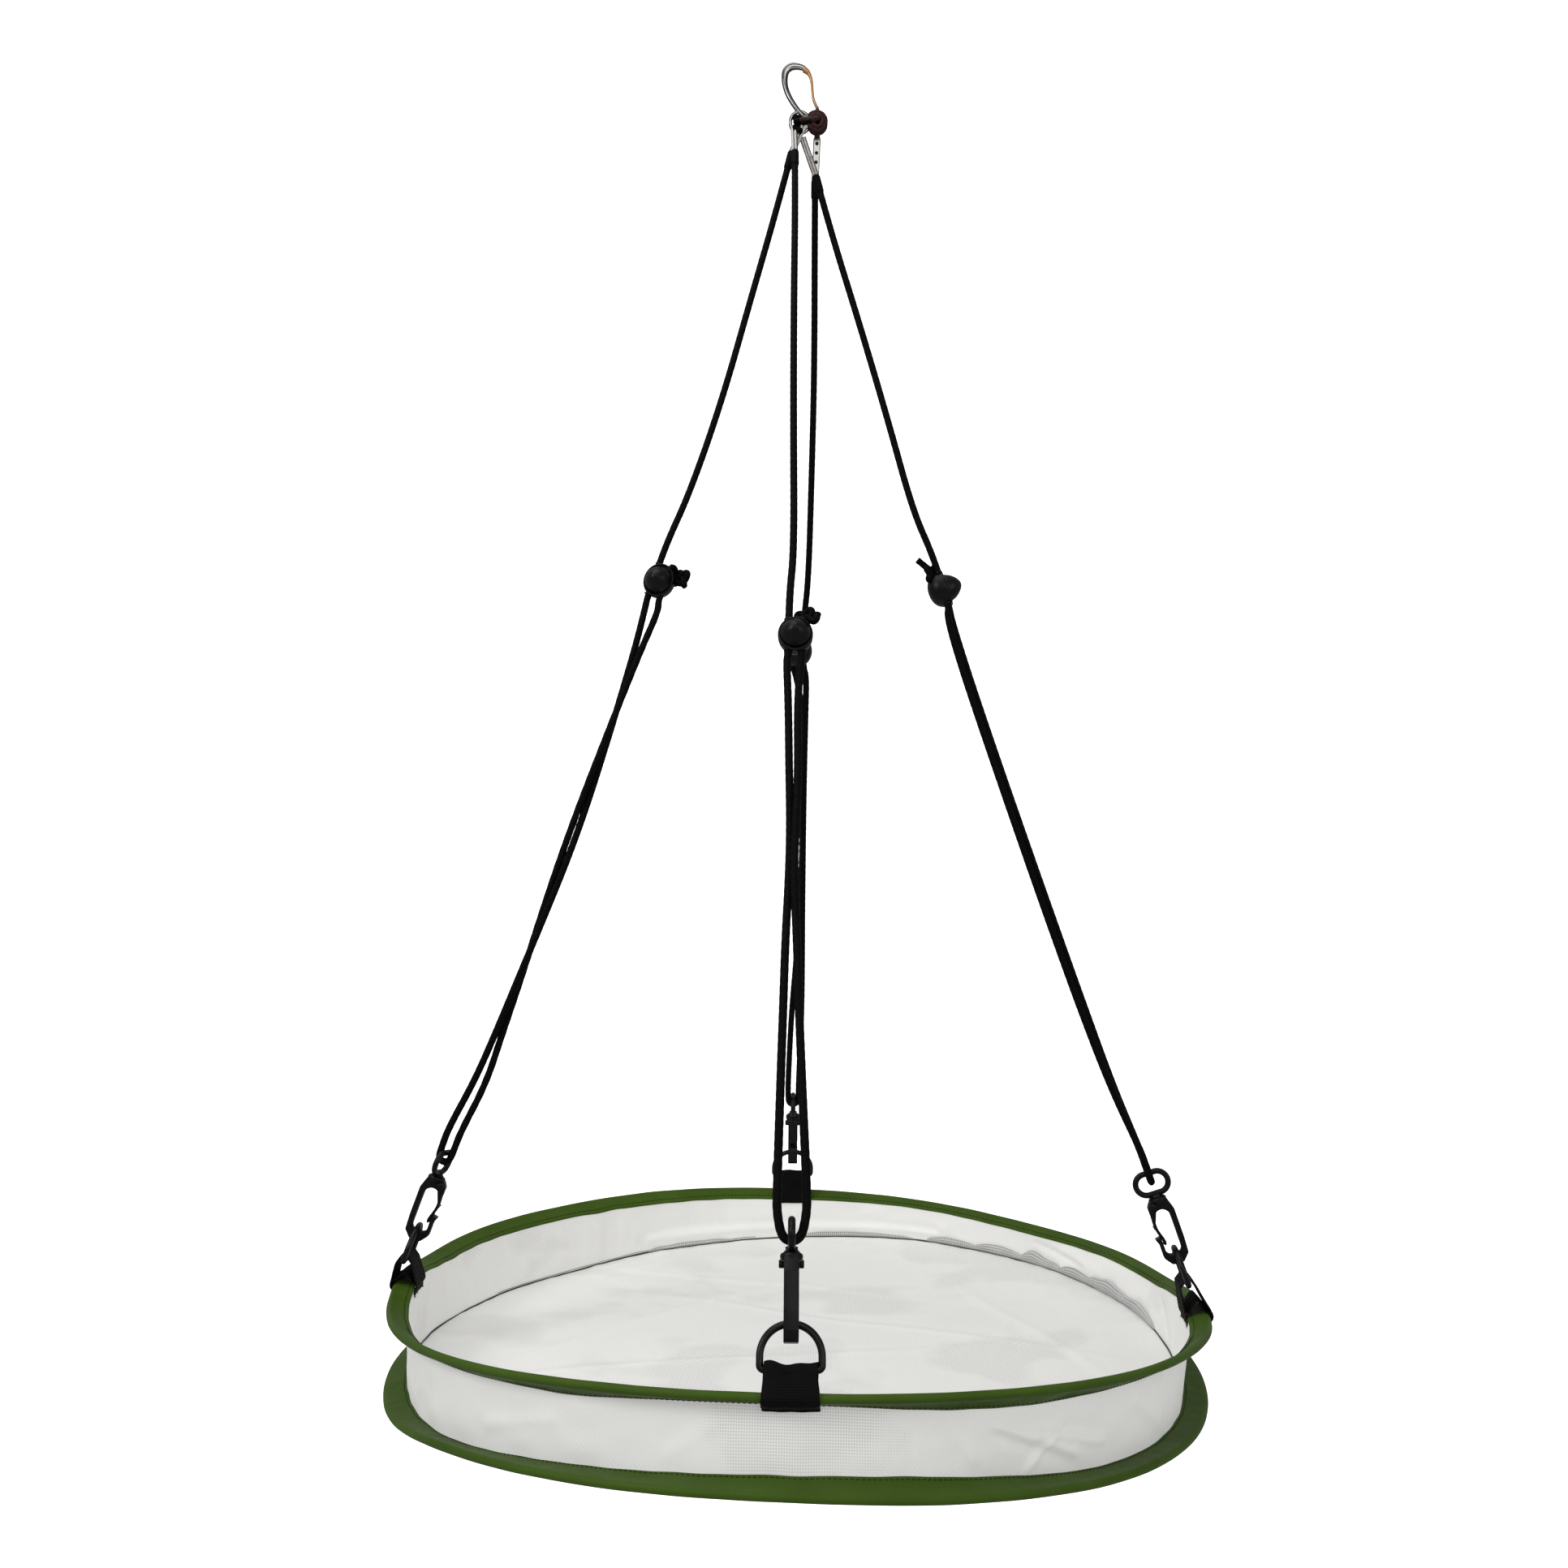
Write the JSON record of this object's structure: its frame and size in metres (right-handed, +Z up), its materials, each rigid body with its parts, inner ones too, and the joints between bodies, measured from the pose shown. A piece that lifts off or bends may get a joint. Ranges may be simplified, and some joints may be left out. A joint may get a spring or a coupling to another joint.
{
  "type": "hanging seed tray",
  "caption": "Round net tray on two sprung hoops in fabric sleeves, hung by four adjustable cord legs with snap hooks from one steel carabiner.",
  "frame": {"origin": "inside top of the carabiner's bow, where the tray hangs", "axes": "+Z up, -Y the front as pictured, +X to the right; the tray's floor is level"},
  "size_m": [0.5939, 0.6318, 1.0037],
  "materials": {
    "polished_steel": "polished",
    "spring_steel": "satin",
    "black_cord": "braided",
    "green_fabric": "satin woven",
    "white_net": "fine net",
    "black_webbing": "ribbed webbing",
    "black_metal": "gloss",
    "black_plastic": "moulded, semi-gloss"
  },
  "bodies": {
    "carabiner": {"main_carabiner": "polished_steel", "carabiner_gate_pin": "polished_steel"},
    "gate": {"carabiner_gate": "polished_steel"},
    "rig": {"gather_cord": "black_cord", "gather_knot": "black_cord"},
    "tray": {"upper_hoop_wire": "spring_steel", "upper_binding": "green_fabric", "mesh_wall": "white_net", "webbing_tab_front": "black_webbing", "webbing_tab_left": "black_webbing", "webbing_tab_right": "black_webbing", "webbing_tab_back": "black_webbing"},
    "tray_floor": {"lower_hoop_wire": "spring_steel", "lower_binding": "green_fabric", "mesh_floor": "white_net"},
    "d_ring_front": {"d_ring_front": "black_metal"},
    "leg_front": {"top_link_front": "polished_steel", "cord_upper_front": "black_cord"},
    "lock_front": {"cord_lock_front": "black_plastic", "cord_loop_front": "black_cord", "cord_knot_front": "black_cord", "lock_spring_front": "spring_steel"},
    "button_front": {"lock_button_front": "black_plastic"},
    "eye_front": {"swivel_eye_front": "black_plastic"},
    "hook_front": {"snap_hook_front": "black_plastic"},
    "tongue_front": {"hook_tongue_front": "black_plastic"},
    "d_ring_left": {"d_ring_left": "black_metal"},
    "leg_left": {"top_link_left": "polished_steel", "cord_upper_left": "black_cord"},
    "lock_left": {"cord_lock_left": "black_plastic", "cord_loop_left": "black_cord", "cord_knot_left": "black_cord", "lock_spring_left": "spring_steel"},
    "button_left": {"lock_button_left": "black_plastic"},
    "eye_left": {"swivel_eye_left": "black_plastic"},
    "hook_left": {"snap_hook_left": "black_plastic"},
    "tongue_left": {"hook_tongue_left": "black_plastic"},
    "d_ring_right": {"d_ring_right": "black_metal"},
    "leg_right": {"top_link_right": "polished_steel", "cord_upper_right": "black_cord"},
    "lock_right": {"cord_lock_right": "black_plastic", "cord_loop_right": "black_cord", "cord_knot_right": "black_cord", "lock_spring_right": "spring_steel"},
    "button_right": {"lock_button_right": "black_plastic"},
    "eye_right": {"swivel_eye_right": "black_plastic"},
    "hook_right": {"snap_hook_right": "black_plastic"},
    "tongue_right": {"hook_tongue_right": "black_plastic"},
    "d_ring_back": {"d_ring_back": "black_metal"},
    "leg_back": {"top_link_back": "polished_steel", "cord_upper_back": "black_cord"},
    "lock_back": {"cord_lock_back": "black_plastic", "cord_loop_back": "black_cord", "cord_knot_back": "black_cord", "lock_spring_back": "spring_steel"},
    "button_back": {"lock_button_back": "black_plastic"},
    "eye_back": {"swivel_eye_back": "black_plastic"},
    "hook_back": {"snap_hook_back": "black_plastic"},
    "tongue_back": {"hook_tongue_back": "black_plastic"}
  },
  "joints": [
    {"name": "gate_hinge", "type": "hinge", "parent": "carabiner", "child": "gate", "pos_m": [0.013, 0, -0.034], "axis": [0, -1, 0], "range_deg": [0, 30], "stiffness_Nm_per_rad": 0.1, "springref_deg": -11.46},
    {"name": "rig_swing", "type": "hinge", "parent": "carabiner", "child": "rig", "pos_m": [0, 0, -0.049], "axis": [1, 0, 0], "range_deg": [-15, 15]},
    {"name": "tray_height", "type": "slide", "parent": "rig", "child": "tray", "axis": [0, 0, 1], "range_m": [-0.05, 0.05]},
    {"name": "tray_fold", "type": "slide", "parent": "tray", "child": "tray_floor", "axis": [0, 0, 1], "range_m": [0, 0.03], "deforming": ["mesh_wall"]},
    {"name": "ring_tilt_front", "type": "hinge", "parent": "tray", "child": "d_ring_front", "pos_m": [0, -0.3005, -0.9225], "axis": [-1, -0.0058, 0], "range_deg": [-0.72, 0.72]},
    {"name": "leg_lean_front", "type": "hinge", "parent": "rig", "child": "leg_front", "pos_m": [-0.00175, 0, -0.049], "axis": [-1, -0.0058, 0], "range_deg": [-0.72, 0.72]},
    {"name": "lock_slide_front", "type": "slide", "parent": "leg_front", "child": "lock_front", "axis": [-0.0017, 0.2924, 0.9563], "range_m": [-0.0965, 0.0965], "deforming": ["cord_upper_front"]},
    {"name": "eye_slide_front", "type": "slide", "parent": "lock_front", "child": "eye_front", "axis": [0.0021, -0.3566, -0.9343], "range_m": [-0.04825, 0.04825], "deforming": ["cord_loop_front"]},
    {"name": "button_push_front", "type": "slide", "parent": "lock_front", "child": "button_front", "axis": [-0.0054, 0.9342, -0.3566], "range_m": [0, 0.0024], "stiffness_N_per_m": 800, "springref_m": -0.002, "deforming": ["lock_spring_front"]},
    {"name": "hook_swivel_front", "type": "hinge", "parent": "eye_front", "child": "hook_front", "pos_m": [-0.00013, -0.2791, -0.86645], "axis": [-0.0021, 0.3566, 0.9343], "range_deg": [-15, 15]},
    {"name": "tongue_press_front", "type": "hinge", "parent": "hook_front", "child": "tongue_front", "pos_m": [-0.00015, -0.27544, -0.87116], "axis": [-1, -0.0058, 0], "range_deg": [0, 9], "stiffness_Nm_per_rad": 0.05, "springref_deg": -5.73},
    {"name": "ring_tilt_left", "type": "hinge", "parent": "tray", "child": "d_ring_left", "pos_m": [-0.28361, -0.01486, -0.927], "axis": [-0.0533, 0.9986, 0], "range_deg": [-0.65, 0.65]},
    {"name": "leg_lean_left", "type": "hinge", "parent": "rig", "child": "leg_left", "pos_m": [-0.00525, 0, -0.049], "axis": [-0.0533, 0.9986, 0], "range_deg": [-0.65, 0.65]},
    {"name": "lock_slide_left", "type": "slide", "parent": "leg_left", "child": "lock_left", "axis": [0.2652, 0.0142, 0.9641], "range_m": [-0.09731, 0.09731], "deforming": ["cord_upper_left"]},
    {"name": "eye_slide_left", "type": "slide", "parent": "lock_left", "child": "eye_left", "axis": [-0.3281, -0.0175, -0.9445], "range_m": [-0.04866, 0.04866], "deforming": ["cord_loop_left"]},
    {"name": "button_push_left", "type": "slide", "parent": "lock_left", "child": "button_left", "axis": [0.1926, 0.9776, -0.085], "range_m": [0, 0.0024], "stiffness_N_per_m": 800, "springref_m": -0.002, "deforming": ["lock_spring_left"]},
    {"name": "hook_swivel_left", "type": "hinge", "parent": "eye_left", "child": "hook_left", "pos_m": [-0.26393, -0.01381, -0.87033], "axis": [0.3281, 0.0175, 0.9445], "range_deg": [-15, 15]},
    {"name": "tongue_press_left", "type": "hinge", "parent": "hook_left", "child": "tongue_left", "pos_m": [-0.26013, -0.01361, -0.87494], "axis": [-0.0533, 0.9986, 0], "range_deg": [0, 9], "stiffness_Nm_per_rad": 0.05, "springref_deg": -5.73},
    {"name": "ring_tilt_right", "type": "hinge", "parent": "tray", "child": "d_ring_right", "pos_m": [0.28504, -0.03349, -0.934], "axis": [-0.1188, -0.9929, 0], "range_deg": [-0.72, 0.72]},
    {"name": "leg_lean_right", "type": "hinge", "parent": "rig", "child": "leg_right", "pos_m": [0.00525, 0, -0.049], "axis": [-0.1188, -0.9929, 0], "range_deg": [-0.72, 0.72]},
    {"name": "lock_slide_right", "type": "slide", "parent": "leg_right", "child": "lock_right", "axis": [-0.2737, 0.0328, 0.9613], "range_m": [-0.09724, 0.09724], "deforming": ["cord_upper_right"]},
    {"name": "eye_slide_right", "type": "slide", "parent": "lock_right", "child": "eye_right", "axis": [0.321, -0.0384, -0.9463], "range_m": [-0.04862, 0.04862], "deforming": ["cord_loop_right"]},
    {"name": "button_push_right", "type": "slide", "parent": "lock_right", "child": "button_right", "axis": [-0.9396, 0.1124, -0.3233], "range_m": [0, 0.0024], "stiffness_N_per_m": 800, "springref_m": -0.002, "deforming": ["lock_spring_right"]},
    {"name": "hook_swivel_right", "type": "hinge", "parent": "eye_right", "child": "hook_right", "pos_m": [0.26578, -0.03118, -0.87722], "axis": [-0.321, 0.0384, 0.9463], "range_deg": [-15, 15]},
    {"name": "tongue_press_right", "type": "hinge", "parent": "hook_right", "child": "tongue_right", "pos_m": [0.26198, -0.03072, -0.8818], "axis": [-0.1188, -0.9929, 0], "range_deg": [0, 9], "stiffness_Nm_per_rad": 0.05, "springref_deg": -5.73},
    {"name": "ring_tilt_back", "type": "hinge", "parent": "tray", "child": "d_ring_back", "pos_m": [0, 0.298, -0.917], "axis": [1, 0.0059, 0], "range_deg": [-0.69, 0.69]},
    {"name": "leg_lean_back", "type": "hinge", "parent": "rig", "child": "leg_back", "pos_m": [0.00175, 0, -0.049], "axis": [1, 0.0059, 0], "range_deg": [-0.69, 0.69]},
    {"name": "lock_slide_back", "type": "slide", "parent": "leg_back", "child": "lock_back", "axis": [0.0017, -0.2857, 0.9583], "range_m": [-0.09656, 0.09656], "deforming": ["cord_upper_back"]},
    {"name": "eye_slide_back", "type": "slide", "parent": "lock_back", "child": "eye_back", "axis": [-0.0021, 0.3569, -0.9341], "range_m": [-0.04828, 0.04828], "deforming": ["cord_loop_back"]},
    {"name": "button_push_back", "type": "slide", "parent": "lock_back", "child": "button_back", "axis": [0.0055, -0.9341, -0.3569], "range_m": [0, 0.0024], "stiffness_N_per_m": 800, "springref_m": -0.002, "deforming": ["lock_spring_back"]},
    {"name": "hook_swivel_back", "type": "hinge", "parent": "eye_back", "child": "hook_back", "pos_m": [0.00013, 0.27659, -0.86095], "axis": [0.0021, -0.3569, 0.9341], "range_deg": [-15, 15]},
    {"name": "tongue_press_back", "type": "hinge", "parent": "hook_back", "child": "tongue_back", "pos_m": [0.00015, 0.27293, -0.86567], "axis": [1, 0.0059, 0], "range_deg": [0, 9], "stiffness_Nm_per_rad": 0.05, "springref_deg": -5.73}
  ],
  "couplings": [
    {"joint": "ring_tilt_front", "follows": "tray_height", "rad_per_m": 0.24779},
    {"joint": "leg_lean_front", "follows": "tray_height", "rad_per_m": 0.24779},
    {"joint": "lock_slide_front", "follows": "tray_height", "ratio": 1.8922},
    {"joint": "eye_slide_front", "follows": "tray_height", "ratio": 0.94608},
    {"joint": "ring_tilt_left", "follows": "tray_height", "rad_per_m": 0.22073},
    {"joint": "leg_lean_left", "follows": "tray_height", "rad_per_m": 0.22073},
    {"joint": "lock_slide_left", "follows": "tray_height", "ratio": 1.9081},
    {"joint": "eye_slide_left", "follows": "tray_height", "ratio": 0.95407},
    {"joint": "ring_tilt_right", "follows": "tray_height", "rad_per_m": 0.24624},
    {"joint": "leg_lean_right", "follows": "tray_height", "rad_per_m": 0.24624},
    {"joint": "lock_slide_right", "follows": "tray_height", "ratio": 1.9067},
    {"joint": "eye_slide_right", "follows": "tray_height", "ratio": 0.95334},
    {"joint": "ring_tilt_back", "follows": "tray_height", "rad_per_m": 0.23459},
    {"joint": "leg_lean_back", "follows": "tray_height", "rad_per_m": 0.23459},
    {"joint": "lock_slide_back", "follows": "tray_height", "ratio": 1.8934},
    {"joint": "eye_slide_back", "follows": "tray_height", "ratio": 0.94671}
  ]
}
